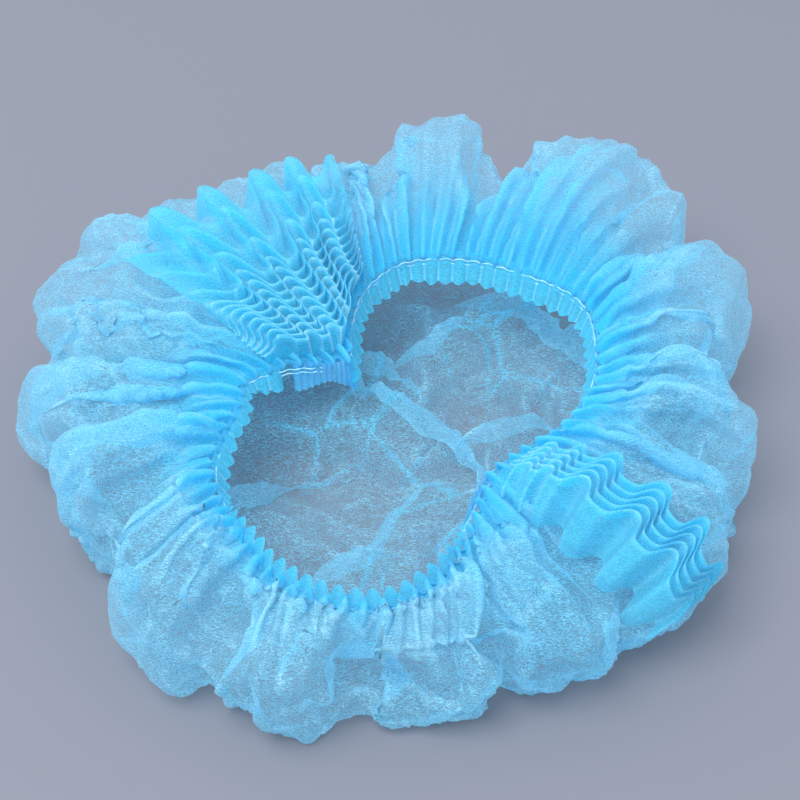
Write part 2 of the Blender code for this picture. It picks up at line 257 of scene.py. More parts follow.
def noise_at(points, size, seed):
    """Smooth noise from -1 to 1 with features of one size, the same on every run."""
    flat = (points.reshape(-1, 3) / size + seed).tolist()
    return np.array([noise.noise(point) for point in flat]).reshape(points.shape[:-1])


def ridged(values):
    """Turns smooth noise into thin creases with round cloth between them."""
    return 1 - 2.6 * np.sqrt(values**2 + 0.0016)


def crease_lines(points, spacing, half_width, seed):
    """1 along a net of thin straight lines of about one spacing, falling to 0 beside them.

    The lines run where the two nearest of some random places around the cap are equally near.
    """
    draw = np.random.default_rng(seed)
    spread = np.array([0.36, 0.36, 0.10])
    middles = (draw.random((int(np.prod(spread) / spacing**3), 3)) - np.array([0.5, 0.5, 0])) * spread
    flat = points.reshape(-1, 3)
    away = (flat**2).sum(1)[:, None] - 2 * flat @ middles.T + (middles**2).sum(1)
    lines = np.arange(len(flat))
    first = away.argmin(1)
    near = away[lines, first]
    away[lines, first] = 1
    second = away.argmin(1)
    beside = (away[lines, second] - near) / (2 * np.linalg.norm(middles[first] - middles[second], axis=1))
    fading = np.clip(0.5 + 1.4 * noise_at(points, 0.030, 4.7), 0, 1)
    return np.maximum(0, 1 - beside.reshape(points.shape[:-1]) / half_width) * fading


def rim_share(angle):
    """How far round the elastic an angle is, from 0 to 1."""
    fine = np.linspace(0, 360, 721)
    loop = place(fine, OPENING_REACH * section("rim", fine), RIM_HEIGHT * section("rim_height", fine))
    walked = np.append(0, np.cumsum(np.linalg.norm(np.diff(loop, axis=0), axis=1)))
    return np.interp(np.mod(angle, 360), fine, walked / walked[-1])


def folded(surface, angle, row):
    """A smooth surface of angle and row with the larger folds of the cloth."""
    base = surface(angle, row)
    normal, across = outwards_of(surface, angle, row)
    wander = noise_at(base, 0.060, 3.1)
    angle = angle + 4.0 * wander * shares_at((0, 0, 0.5, 1, 1, 1, 1, 1), row)
    turn = np.radians(angle)
    lift = -ROOM_TO_SWELL * shares_at((0, 0, 0.3, 0.6, 1, 1, 0.6, 0), row)
    sideways = 0 * lift
    for number, (count, depth, sharp, shares) in enumerate(FOLDS):
        radius = NOISE_TO_A_FOLD * count
        around = np.stack([radius * np.cos(turn), radius * np.sin(turn), 0.3 * row], axis=-1)
        value = noise_at(around, 1, 11.7 * (number + 1))
        lift += sharp * depth * ridged(value) * shares_at(shares, row)
        sideways += 0.8 * depth * noise_at(around, 1.4, 5.3 * (number + 1)) * shares_at(shares, row)
    for number, (size, depth, shares) in enumerate(CRUMPLES):
        value = noise_at(base, size, 2.9 * (number + 1))
        lift += depth * ridged(value) * shares_at(shares, row)
    wide = CAP_REACH * section("outer", angle) - OPENING_REACH * section("rim", angle)
    room = np.clip(wide / FOLD_ROOM, 0.4, 1)
    calm = mix(room, 1, shares_at((0, 0, 0, 0.2, 0.7, 1, 1, 1), row))
    return base + normal * (lift * calm)[..., None] + across * (sideways * calm)[..., None]


def slackened(points, faces, held, growth, frames):
    """The cloth after its threads have grown by a share, so that it buckles where it isn't held.

    It is simulated at ten times its size, where the solver is steady.
    """
    scale = 10
    mesh = bpy.data.meshes.new("slack")
    mesh.from_pydata((points * scale).tolist(), [], faces)
    slack = bpy.data.objects.new("slack", mesh)
    bpy.context.scene.collection.objects.link(slack)
    group = slack.vertex_groups.new(name="held")
    for number, weight in enumerate(held.tolist()):
        group.add([number], weight, "REPLACE")
    cloth = slack.modifiers.new("cloth", "CLOTH")
    settings = cloth.settings
    settings.quality = 6
    settings.mass = 0.3
    settings.air_damping = 8
    settings.tension_stiffness = 40
    settings.compression_stiffness = 40
    settings.shear_stiffness = 12
    settings.bending_stiffness = 0.5
    settings.vertex_group_mass = "held"
    settings.pin_stiffness = 1
    settings.shrink_min = -growth
    settings.effector_weights.gravity = 0
    cloth.point_cache.frame_start = 1
    cloth.point_cache.frame_end = frames
    for frame_number in range(1, frames + 1):
        bpy.context.scene.frame_set(frame_number)
    result = slack.evaluated_get(bpy.context.evaluated_depsgraph_get()).to_mesh()
    moved = np.empty(len(result.vertices) * 3)
    result.vertices.foreach_get("co", moved)
    bpy.data.objects.remove(slack)
    bpy.context.scene.frame_set(1)
    return moved.reshape(-1, 3) / scale


def levelled(grid, columns, rows):
    """A grid that goes all the way round, averaged twice over so many columns and rows to each side."""
    for _ in range(2):
        grid = sum(np.roll(grid, step, axis=0) for step in range(-columns, columns + 1)) / (2 * columns + 1)
        padded = np.pad(grid, ((0, 0), (rows, rows), (0, 0)), mode="edge")
        grid = sum(padded[:, k : k + grid.shape[1]] for k in range(2 * rows + 1)) / (2 * rows + 1)
    return grid


def finer(grid, times, around):
    """A grid of points with more columns (axis 0) or rows (axis 1), on smooth curves through them."""
    steps = np.arange(times) / times
    if around:
        before, here, after, beyond = (np.roll(grid, shift, axis=0) for shift in (1, 0, -1, -2))
        parts = [smooth_through(before, here, after, beyond, share) for share in steps]
        return np.stack(parts, axis=1).reshape(-1, *grid.shape[1:])
    padded = np.concatenate([grid[:, :1], grid, grid[:, -1:]], axis=1)
    around_them = [padded[:, k : k + grid.shape[1] - 1] for k in range(4)]
    parts = np.stack([smooth_through(*around_them, share) for share in steps], axis=2)
    return np.concatenate([parts.reshape(grid.shape[0], -1, 3), grid[:, -1:]], axis=1)


def grid_normals(grid):
    """Outward normals of a grid that goes all the way round."""
    across = np.roll(grid, -1, axis=0) - np.roll(grid, 1, axis=0)
    along = np.gradient(grid, axis=1)
    normal = np.cross(along, across)
    return normal / (np.linalg.norm(normal, axis=-1, keepdims=True) + 1e-12)


def grid_faces(columns, rows, around=False):
    """Quads of a grid that is numbered row by row within each column."""
    starts = np.arange(columns if around else columns - 1)
    column, row = np.meshgrid(starts, np.arange(rows - 1), indexing="ij")
    here = column * rows + row
    after = (column + 1) % columns * rows + row
    return np.stack([here, here + 1, after + 1, after], axis=-1).reshape(-1, 4).tolist()


def halving_faces(outer, inner):
    """Faces between two rings, the inner one with as many points, half as many or one."""
    faces = []
    count = len(outer)
    for k in range(count):
        after = (k + 1) % count
        if len(inner) == 1:
            faces.append((outer[k], inner[0], outer[after]))
        elif len(inner) == count:
            faces.append((outer[k], inner[k], inner[after], outer[after]))
        elif k % 2 == 0:
            here = inner[k // 2]
            beside = inner[(k // 2 + 1) % len(inner)]
            faces.append((outer[k], here, outer[after]))
            faces.append((outer[after], beside, outer[(k + 2) % count]))
            faces.append((outer[after], here, beside))
    return faces


def add_piece(name, points, faces):
    """A smooth-shaded piece of the dressed cap."""
    mesh = bpy.data.meshes.new(name)
    mesh.from_pydata(points.reshape(-1, 3).tolist(), [], faces)
    mesh.shade_smooth()
    piece = bpy.data.objects.new(name, mesh)
    bpy.context.scene.collection.objects.link(piece)
    return piece


# Creases of the bottom, where slack cloth stands up and falls over: height, how far it falls over,
# and its line through points given as shares of CAP_REACH. It falls to the left of its line.
LONG_RIDGE = (
    (-0.66, 0.02),
    (-0.50, 0.14),
    (-0.36, 0.22),
    (-0.22, 0.23),
    (-0.15, 0.15),
    (0.02, 0.09),
    (0.08, -0.02),
    (0.12, -0.16),
    (0.22, -0.28),
    (0.34, -0.38),
)
FAR_RIDGE = (
    (-0.02, 0.78),
    (0.14, 0.68),
    (0.28, 0.54),
    (0.37, 0.42),
    (0.47, 0.32),
    (0.56, 0.20),
    (0.64, 0.04),
)
RIDGES = (
    (0.011, 0.013, LONG_RIDGE),
    (0.014, 0.013, FAR_RIDGE),
    (0.010, 0.007, ((-0.20, 0.44), (-0.06, 0.28), (0.06, 0.16))),
    (0.010, 0.007, ((-0.06, 0.36), (0.12, 0.38), (0.26, 0.56))),
    (0.009, 0.006, ((-0.52, -0.30), (-0.34, -0.14), (-0.20, -0.02))),
    (0.009, 0.006, ((-0.26, -0.50), (-0.04, -0.34), (0.06, -0.12))),
    (0.009, 0.006, ((0.08, 0.02), (0.30, 0.10), (0.44, 0.06))),
)
# How far a crease reaches on its steep side and on its long one
RIDGE_SPREAD = 0.006
RIDGE_FOOT = 0.022
# Crumples of the bottom: size, depth
SLACK = ((0.040, 0.0040), (0.018, 0.0020), (0.008, 0.0008))
# The bottom is simulated as a square sheet of this side, with so many points a side, and its moves
# are then given to rings of the real bottom
BOTTOM_SIDE = 0.30
BOTTOM_CELLS = 84
BOTTOM_RINGS = 108


def beside_line(points, line):
    """Distance of points from a line through corners, and which side they are on."""
    nearest = np.full(len(points), 9.0)
    side = np.zeros(len(points))
    left = np.zeros((len(points), 2))
    for start, end in zip(line, line[1:]):
        run = end - start
        share = np.clip((points - start) @ run / (run @ run), 0, 1)
        offset = points - start - share[:, None] * run
        away = np.hypot(offset[:, 0], offset[:, 1])
        closer = away < nearest
        square = np.array([-run[1], run[0]]) / np.hypot(*run)
        nearest = np.where(closer, away, nearest)
        side = np.where(closer, np.sign(offset @ square), side)
        left = np.where(closer[:, None], square, left)
    return nearest * np.where(side < 0, -1, 1), left


def creased(ring):
    """The bottom's points raised at its creases and pushed over, so that the cloth lies double there."""
    flat = ring[:, :2] - np.array(OPENING_MIDDLE)[:2]
    flat = flat + 0.004 * np.stack([noise_at(ring, 0.022, 1.9), noise_at(ring, 0.022, 5.9)], axis=-1)
    height = np.zeros(len(ring))
    push = np.zeros((len(ring), 2))
    for tall, over, line in RIDGES:
        line = np.array(line) * CAP_REACH
        away, left = beside_line(flat, line)
        tips = np.minimum(np.hypot(*(flat - line[0]).T), np.hypot(*(flat - line[-1]).T))
        whole = np.minimum(1, tips / 0.02)
        reach = np.where(away < 0, RIDGE_FOOT, RIDGE_SPREAD)
        slope = np.exp(-((away / reach) ** 2))
        height = np.maximum(height, tall * whole * slope)
        push += left * (over * whole * np.exp(-((away / RIDGE_SPREAD) ** 2)))[:, None]
    return ring + np.column_stack([push, height])


def sampled(field, side, points):
    """A field on a square grid around the opening's middle, at any points of the table."""
    spot = (points[:, :2] - np.array(OPENING_MIDDLE)[:2]) / side * (len(field) - 1) + (len(field) - 1) / 2
    spot = np.clip(spot, 0, len(field) - 1.001)
    cell = spot.astype(int)
    share = (spot - cell)[:, :, None]
    near = mix(field[cell[:, 0], cell[:, 1]], field[cell[:, 0], cell[:, 1] + 1], share[:, 1])
    far = mix(field[cell[:, 0] + 1, cell[:, 1]], field[cell[:, 0] + 1, cell[:, 1] + 1], share[:, 1])
    return mix(near, far, share[:, 0])


# The wall: folds, then the simulation, then what is finer than its grid
coarse_angle, coarse_row = np.meshgrid(
    np.arange(COARSE_COLUMNS) * 360 / COARSE_COLUMNS, np.linspace(0, 7, COARSE_STEPS), indexing="ij"
)
wall = folded(crown_wall, coarse_angle, coarse_row)
held = shares_at(HELD_ROUND, coarse_row)
for middle, half, firmly, shares in HELD_BY:
    here = firmly * bump(turn_between(coarse_angle, middle), half) * shares_at(shares, coarse_row)
    held = np.maximum(held, here)
wall_faces = grid_faces(COARSE_COLUMNS, COARSE_STEPS, around=True)
slack = slackened(wall.reshape(-1, 3), wall_faces, held.reshape(-1), growth=0.22, frames=25)
moved = slack.reshape(wall.shape) - wall
near_rim = 1 - shares_at((0, 0, 0.3, 0.9, 1, 1, 1, 1), coarse_row)[..., None]
moved = mix(moved, levelled(moved, columns=0, rows=4), near_rim)
wall = wall + moved - SWELL_TAKEN * levelled(moved, columns=8, rows=4)
wall = finer(finer(wall, 2, around=True), 2, around=False)
columns, WALL_STEPS = wall.shape[:2]
wall_angle = np.arange(columns) * 360 / columns
angle, row = np.meshgrid(wall_angle, np.linspace(0, 7, WALL_STEPS), indexing="ij")
normal = grid_normals(wall)
rim_line = place(angle, OPENING_REACH * section("rim", angle), 0 * angle)
wander = 2.0 * noise_at(rim_line, 0.022, 8.3) * (0.3 + 0.25 * row)
pleat = np.cos(math.pi * RIM_PLEATS * rim_share(angle) + wander)
lift = RIM_PLEAT_DEPTH * (1.2 - 2.4 * np.sqrt(pleat**2 + 0.01))
lift *= shares_at((0.3, 0.8, 1.0, 0.65, 0.2, 0.05, 0, 0), row)
turn = np.radians(angle + 5 * noise_at(wall, 0.050, 7.7))
for number, (count, depth, sharp, shares) in enumerate(FINE_FOLDS):
    radius = NOISE_TO_A_FOLD * count
    around = np.stack([radius * np.cos(turn), radius * np.sin(turn), 0.28 * row], axis=-1)
    lift += sharp * depth * ridged(noise_at(around, 1, 6.3 * (number + 1))) * shares_at(shares, row)
for number, (size, depth, shares) in enumerate(FINE_CRUMPLES):
    lift += depth * ridged(noise_at(wall, size, 2.9 * (number + 1))) * shares_at(shares, row)
wall_creases = np.zeros(row.shape)
for spacing, height, half_width, seed, shares in CREASES:
    lines = crease_lines(wall, spacing, half_width, seed) * shares_at(shares, row)
    lift += height * lines
    wall_creases = np.maximum(wall_creases, lines)
wall = wall + normal * lift[..., None]
wall[..., 2] = np.maximum(wall[..., 2], 0.0002)

# The bottom: how a loose square sheet moves when it creases and buckles
spots = np.linspace(-BOTTOM_SIDE / 2, BOTTOM_SIDE / 2, BOTTOM_CELLS)
flat_x, flat_y = np.meshgrid(spots, spots, indexing="ij")
flat = np.stack([flat_x, flat_y, 0 * flat_x], axis=-1).reshape(-1, 3) + np.array(OPENING_MIDDLE)
bottom = flat.copy()
for number, (size, depth) in enumerate(SLACK):
    bottom[:, 2] += depth * (0.5 + ridged(noise_at(flat, size, 4.1 * (number + 1))))
bottom = creased(bottom)
off_middle = np.hypot(*(flat - np.array(OPENING_MIDDLE))[:, :2].T)
held = np.where(off_middle > 0.48 * BOTTOM_SIDE, 1, 0.10)
bottom_faces = grid_faces(BOTTOM_CELLS, BOTTOM_CELLS)
bottom = slackened(bottom, bottom_faces, held, growth=0.16, frames=22)
bottom_moves = (bottom - flat).reshape(BOTTOM_CELLS, BOTTOM_CELLS, 3)

# The two joined: rings run in from the wall's foot, with fewer points where they are short, and take
# up the sheet's moves where the opening shows them
cloth_points = [wall.reshape(-1, 3)]
creased_share = [np.minimum(0.6, wall_creases.reshape(-1))]
cloth_faces = grid_faces(columns, WALL_STEPS, around=True)
last_ring = [k * WALL_STEPS + WALL_STEPS - 1 for k in range(columns)]
used = columns * WALL_STEPS
foot = CAP_REACH * section("outer", wall_angle) * section("foot", wall_angle)
ring_columns = columns
for share in np.linspace(1, 0, BOTTOM_RINGS)[1:-1]:
    # Half as many points once they would lie closer than 0.8 of the wall's spacing
    if ring_columns > 45 and share * columns / ring_columns < 0.8:
        ring_columns //= 2
    step = columns // ring_columns
    ring = place(wall_angle[::step], foot[::step] * share, 0 * foot[::step])
    # The moves are whole up to 0.66 of the foot's reach and gone at 0.88
    inside = bump(max(0, share - 0.66), 0.22)
    ring_creases = np.zeros(len(ring))
    for spacing, height, half_width, seed, _ in CREASES:
        lines = crease_lines(ring, spacing, half_width, seed + 10) * inside
        ring[:, 2] += 1.5 * height * lines
        ring_creases = np.maximum(ring_creases, lines)
    creased_share.append(np.minimum(1, 1.8 * ring_creases))
    ring = ring + sampled(bottom_moves, BOTTOM_SIDE, ring) * inside
    ring[:, 2] = np.maximum(ring[:, 2], 0) + 0.0004
    # The outer tenth follows the wall's foot
    blend = bump(max(0, 1 - share), 0.10)
    ring[:, 2] = mix(ring[:, 2], wall[::step, -1, 2], blend)
    rim_shift = wall[::step, -1, :2] - place(wall_angle[::step], foot[::step], 0 * foot[::step])[:, :2]
    ring[:, :2] += rim_shift * blend
    cloth_points.append(ring)
    inner = list(range(used, used + len(ring)))
    cloth_faces += halving_faces(last_ring, inner)
    used += len(ring)
    last_ring = inner
cloth_points.append(np.array([[*OPENING_MIDDLE[:2], 0.002]]))
creased_share.append(np.zeros(1))
cloth_faces += halving_faces(last_ring, [used])
crown = add_piece("crown_cloth", np.vstack(cloth_points), cloth_faces)


def linear(hex_colour):
    """An sRGB hex colour as linear red, green, blue and alpha."""
    channels = [int(hex_colour[k : k + 2], 16) / 255 for k in (1, 3, 5)]
    return (*[c / 12.92 if c < 0.04045 else ((c + 0.055) / 1.055) ** 2.4 for c in channels], 1)


def add_node(tree, kind, settings=(), inputs=(), **links):
    """One node with its settings, its sockets' values and what feeds each socket (n0 is socket 0)."""
    node = tree.nodes.new(kind)
    for name, value in dict(settings).items():
        setattr(node, name, value)
    for name, value in dict(inputs).items():
        node.inputs[name].default_value = value
    for name, source in links.items():
        socket = node.inputs[int(name[1:])] if name[0] == "n" and name[1:].isdigit() else node.inputs[name]
        tree.links.new(source, socket)
    return node


# Spunbond polypropylene of 14 grams a square metre: filaments of about 0.02 mm lie at random in all
# directions with gaps up to 1 mm between them. They are drawn as bundles some 3 mm long and 0.7 mm apart,
# which is as fine as shows, in clouds of more and less cloth. Light comes through it, and cloth behind
# cloth looks deeper. Where the cloth bends tightly it is painted paler and denser, a painted highlight, and
# its pressed creases are painted paler too.
FIBRE_RUN = 0.0032
FIBRE_SPACE = 0.0007
# Two sets of bundles, each turned its own way, in radians
FIBRE_TURNS = ((0.3, 0.2, 0.5), (0.9, 0.8, 1.9))
CLOUD = 0.006
CLOUD_COVER = 0.28
# How much of the light that meets a filament goes through to the other side
LIGHT_THROUGH = 0.55


def spunbond(name, colour, deep_colour, crease_and_highlight_colour, cover_gap, cover_fibre, crease_and_highlight_cover):
    """Cloth that covers as much as given between its filaments, on them and, besides, at a fold's tight
    bends and creases, which are also painted paler: a painted highlight at the bends.
    """
    material = bpy.data.materials.new(name)
    material.use_nodes = True
    tree = material.node_tree
    tree.nodes.clear()
    place_on = add_node(tree, "ShaderNodeTexCoord").outputs["Object"]
    web = None
    for turn in FIBRE_TURNS:
        lie = add_node(
            tree,
            "ShaderNodeMapping",
            inputs={"Rotation": turn, "Scale": (1 / FIBRE_RUN, 1 / FIBRE_SPACE, 1 / FIBRE_SPACE)},
            Vector=place_on,
        )
        strand = add_node(
            tree,
            "ShaderNodeTexNoise",
            {"normalize": True},
            {"Scale": 1, "Detail": 1},
            Vector=lie.outputs["Vector"],
        )
        off = add_node(
            tree, "ShaderNodeMath", {"operation": "SUBTRACT"}, {1: 0.5}, n0=strand.outputs["Fac"]
        )
        near = add_node(tree, "ShaderNodeMath", {"operation": "ABSOLUTE"}, n0=off.outputs[0])
        line = add_node(
            tree,
            "ShaderNodeMapRange",
            {"interpolation_type": "SMOOTHSTEP"},
            {"From Min": 0.0, "From Max": 0.05, "To Min": 1, "To Max": 0},
            Value=near.outputs[0],
        )
        if web is None:
            web = line.outputs["Result"]
        else:
            both = add_node(
                tree, "ShaderNodeMath", {"operation": "MAXIMUM"}, n0=web, n1=line.outputs["Result"]
            )
            web = both.outputs[0]
    cover = add_node(
        tree,
        "ShaderNodeMapRange",
        inputs={"From Min": 0, "From Max": 1, "To Min": cover_gap, "To Max": cover_fibre},
        Value=web,
    )
    cloud = add_node(tree, "ShaderNodeTexNoise", inputs={"Scale": 1 / CLOUD, "Detail": 1}, Vector=place_on)
    clouded = add_node(
        tree,
        "ShaderNodeMath",
        {"operation": "MULTIPLY_ADD"},
        {1: CLOUD_COVER},
        n0=cloud.outputs["Fac"],
        n2=cover.outputs["Result"],
    )
    bunched = add_node(tree, "ShaderNodeAttribute", {"attribute_name": "bunched"})
    # Tight bends and creases: painted paler and denser, a painted highlight at the bends
    edge = add_node(tree, "ShaderNodeAttribute", {"attribute_name": "crease_and_highlight"})
    thick = add_node(
        tree,
        "ShaderNodeMath",
        {"operation": "MULTIPLY_ADD"},
        {1: crease_and_highlight_cover},
        n0=edge.outputs["Fac"],
        n2=clouded.outputs[0],
    )
    whole = add_node(
        tree,
        "ShaderNodeMath",
        {"operation": "ADD", "use_clamp": True},
        n0=thick.outputs[0],
        n1=bunched.outputs["Fac"],
    )
    deep = add_node(
        tree,
        "ShaderNodeMapRange",
        inputs={"From Min": 0, "From Max": 0.5, "To Min": 0, "To Max": 1},
        Value=bunched.outputs["Fac"],
    )
    base = add_node(
        tree,
        "ShaderNodeMix",
        {"data_type": "RGBA"},
        {6: linear(colour), 7: linear(deep_colour)},
        n0=deep.outputs["Result"],
    )
    # Mixes in the painted highlight colour at tight bends, and the same pale colour on creases
    with_painted_highlight = add_node(
        tree,
        "ShaderNodeMix",
        {"data_type": "RGBA"},
        {7: linear(crease_and_highlight_colour)},
        n0=edge.outputs["Fac"],
        n6=base.outputs[2],
    )
    tint = with_painted_highlight.outputs[2]
    body = add_node(
        tree,
        "ShaderNodeBsdfPrincipled",
        inputs={"Roughness": 0.75, "Sheen Weight": 0.2},
        **{"Base Color": tint},
    )
    through = add_node(tree, "ShaderNodeBsdfTranslucent", Color=tint)
    cloth = add_node(
        tree,
        "ShaderNodeMixShader",
        inputs={"Fac": LIGHT_THROUGH},
        n1=body.outputs[0],
        n2=through.outputs[0],
    )
    gap = add_node(tree, "ShaderNodeBsdfTransparent")
    mixed = add_node(
        tree, "ShaderNodeMixShader", n0=whole.outputs[0], n1=gap.outputs[0], n2=cloth.outputs[0]
    )
    add_node(tree, "ShaderNodeOutputMaterial", Surface=mixed.outputs[0])
    return material


def set_attribute(piece, name, values):
    """Stores one value at each point, for the cloth's material to read."""
    attribute = piece.data.attributes.new(name, "FLOAT", "POINT")
    attribute.data.foreach_set("value", np.asarray(values, np.float32))


def mark_bend_highlights_and_creases(piece, radius, creases=0, shown=1):
    """The attribute that the cloth's material reads: 0 where the cloth is flat, 1 at a crease or a bend as
    tight as the radius. The material paints these places paler and denser, a painted highlight at the
    bends, and the creases paler too.
    """
    mesh = piece.data
    count = len(mesh.vertices)
    points = np.empty(count * 3)
    mesh.vertices.foreach_get("co", points)
    points = points.reshape(-1, 3)
    normals = np.empty(count * 3, np.float32)
    mesh.vertex_normals.foreach_get("vector", normals)
    normals = normals.reshape(-1, 3)
    ends = np.empty(len(mesh.edges) * 2, np.int32)
    mesh.edges.foreach_get("vertices", ends)
    first, last = ends.reshape(-1, 2).T
    run = points[last] - points[first]
    length = np.maximum(np.linalg.norm(run, axis=1), 0.0001)
    bend = np.abs(np.einsum("ij,ij->i", run, normals[last] - normals[first])) / length**2
    sharp = np.zeros(count)
    shared = np.maximum(np.bincount(first, minlength=count) + np.bincount(last, minlength=count), 1)
    for _ in range(2):
        sharp = (np.bincount(first, bend, count) + np.bincount(last, bend, count)) / shared
        bend = (sharp[first] + sharp[last]) / 2
    set_attribute(piece, "crease_and_highlight", np.maximum(np.clip(sharp * radius, 0, 1) ** 1.5, creases) * shown)


cloth_blue = spunbond(
    "spunbond_polypropylene",
    "#94e4ff",
    "#26d8ff",
    # Painted highlight colour for tight bends, also laid on pressed creases
    "#b4eeff",
    cover_gap=0.02,
    cover_fibre=0.60,
    crease_and_highlight_cover=0.5,
)
# Attribute "bunched": how much cloth lies together. The elastic gathers it, by so much at each of the eight
# places. Besides, the cloth is made denser and deeper in colour at the right and thinner at the far side:
# angle, half width, how much.
GATHERED = (0.6, 0.55, 0.40, 0.12, 0.03, 0, 0, 0)
DENSER_AT_ANGLES = ((302, 42, 0.08), (85, 75, -0.08))
# The single cloth of the bottom covers less, but more where it stands up and at its creases
BOTTOM_LESS = 0.13
RAISED_MORE = 0.12
CREASE_MORE = 0.32
bunched = np.zeros(used + 1)
denser_at_angle = sum(much * bump(turn_between(angle, middle), half) for middle, half, much in DENSER_AT_ANGLES)
gathered = shares_at(GATHERED, row)
gathered += denser_at_angle * shares_at((0, 0, 0.2, 0.7, 1, 1, 1, 1), row)
wall_count = columns * WALL_STEPS
bunched[:wall_count] = gathered.reshape(-1)
bottom_height = np.vstack(cloth_points)[wall_count:, 2]
bunched[wall_count:] = RAISED_MORE * np.clip((bottom_height - 0.005) / 0.010, 0, 1) - BOTTOM_LESS
creased_share = np.concatenate(creased_share)
on_bottom = np.arange(used + 1) >= wall_count
# Tight bends painted paler, a painted highlight, less where the cloth is bunched; creases paler too
mark_bend_highlights_and_creases(
    crown,
    radius=0.0021,
    creases=np.where(on_bottom, 0.2, 1) * creased_share,
    shown=1 - 1.2 * bunched,
)
set_attribute(crown, "bunched", bunched + CREASE_MORE * on_bottom * creased_share)
crown.data.materials.append(cloth_blue)
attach(crown, "root")
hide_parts("crown_panel")

# The bunched ends: beside each weld the cap's pleats stay pressed together like a closed fan. On the
# left they lie in nested loops around the corner of the elastic, on the right in long wavy leaves
# that run outwards. Each stack is one sheet, folded to and fro over the crown.

# Edges and valleys of the folds, in turn: place across the stack (row of the wall for the loops,
# degrees for the leaves), height above the crown, swing of its waves
LOOPS = (
    (1.10, 0.0000, 0.0005),
    *[(1.24 + 0.062 * k, 0.0085 if k % 2 == 0 else 0.0040, 0.0026 + 0.00016 * k) for k in range(16)],
    (2.26, 0.0100, 0.0060),
    (2.40, 0.0040, 0.0056),
    (2.58, 0.0105, 0.0080),
    (2.72, 0.0035, 0.0070),
    (2.95, 0.0100, 0.0090),
    (3.20, 0.0000, 0.0050),
    (3.30, -0.0040, 0.0030),
)
# The loops run from one angle to another, the leaves from one row to another, in so many waves
LOOP_ENDS = (103, 163)
LOOP_WAVES = 5.6
LEAVES = (
    (327.0, -0.0010, 0.0012),
    *[(325.6 - 0.95 * k, 0.0105 if k % 2 == 0 else 0.0050, 0.0034) for k in range(9)],
    (316.2, 0.0080, 0.0042),
    (314.6, 0.0045, 0.0048),
    (313.0, 0.0010, 0.0046),
    (311.8, -0.0040, 0.0036),
)
LEAF_ENDS = (1.25, 4.9)
LEAF_WAVES = 6.4
# Points between an edge and the next valley
FOLD_STEPS = 5
# The wall under the loops is this wide for each row, and the leaves lie about this far out
ROW_WIDTH = 0.034
LEAF_REACH = 0.085


def stack_of_pleats(profile, ends, waves, steps, loops):
    """A sheet folded to and fro through its profile, whose layers all wave together.

    Loops run around the rim and swing outwards, leaves run outwards and swing around the rim.
    """
    count = len(profile)
    across = np.linspace(0, count - 1, (count - 1) * FOLD_STEPS + 1)
    share, along = np.meshgrid(across, np.linspace(0, 1, steps), indexing="ij")
    place_of, tall, swing = [np.interp(share, range(count), [row[k] for row in profile]) for k in range(3)]
    spot = np.stack([along * 5, share * 0.08, 0 * along], axis=-1)
    # The outer loops have fewer waves and end sooner
    fewer = 1 - 0.10 * (share / count) ** 2 * loops
    phase = math.tau * waves * along * fewer + 1.6 * noise_at(spot, 1, 4.4)
    # Folds sink towards both ends, and leaves start low and narrow at the elastic
    fade = np.minimum(1, np.minimum(along, 1 - along) * 9)
    narrow = 1 if loops else np.minimum(1, 0.3 + along * 1.5)
    sway = swing * (np.cos(phase) + 0.18 * np.cos(2 * phase)) * narrow
    # The waves' crests are slid sideways, so they bulge
    slide = np.sin(2 * phase) * (0.06 if loops else 0.03) / waves * (ends[1] - ends[0]) * fade
    last_end = ends[1] - (0.25 * (share / count) ** 2 * (ends[1] - ends[0]) if loops else 0)
    run = ends[0] + (last_end - ends[0]) * along + slide
    if loops:
        row, angle = place_of + sway / ROW_WIDTH, run
    else:
        middle = profile[count // 2][0]
        fanned = middle + (place_of - middle) * mix(1.6, 0.9, along)
        row, angle = run, fanned + np.degrees(sway / LEAF_REACH)
    base = crown_wall(angle, row)
    normal, _ = outwards_of(crown_wall, angle, row)
    # The folds stand between square to the wall and upright
    upward = normal * 0.7 + np.array([0, 0, 0.5])
    points = base + upward * (tall * (0.3 + 0.7 * fade) * narrow)[..., None]
    points += normal * (0.0007 * noise_at(points, 0.008, 6.6))[..., None]
    return points


# The same cloth lying close, layer on layer: it covers more and looks deeper
gathered_blue = spunbond(
    "gathered_polypropylene",
    "#5ee6ff",
    "#3adaff",
    # Painted highlight colour for tight bends, also laid on pressed creases
    "#b8f2ff",
    cover_gap=0.20,
    cover_fibre=0.56,
    crease_and_highlight_cover=0.45,
)
for name, points in (
    ("pleats_left", stack_of_pleats(LOOPS, LOOP_ENDS, LOOP_WAVES, steps=280, loops=True)),
    ("pleats_right", stack_of_pleats(LEAVES, LEAF_ENDS, LEAF_WAVES, steps=220, loops=False)),
):
    faces = grid_faces(points.shape[0], points.shape[1])
    pleats = add_piece(name, points, faces)
    layer = np.linspace(0, 1, points.shape[0])[:, None] + 0 * points[..., 0]
    set_attribute(pleats, "bunched", (0.26 * (1 - layer) ** 0.8 + 0.03).reshape(-1))
    # Tight bends of the stack painted paler: a painted highlight
    mark_bend_highlights_and_creases(pleats, 0.0015)
    pleats.data.materials.append(gathered_blue)
    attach(pleats, "root")
    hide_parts(name.replace("pleats", "pleat_stack"))

# The hem: the cloth beyond the elastic, left as a ruffle of rounded flutes. It hangs into the opening
# at the back and the sides, and stands up as a row of lobes at the front. The elastic bunches it, so
# it hides more of what is behind it.
HEM_DROP = 0.0115
HEM_LEAN = 0.0042
HEM_SWING = 0.0009
HEM_WOBBLE = 0.0013
# Its root lies this far inside the middle of the elastic and above it
ROOT_INSIDE = 0.0008
ROOT_ABOVE = 0.0015
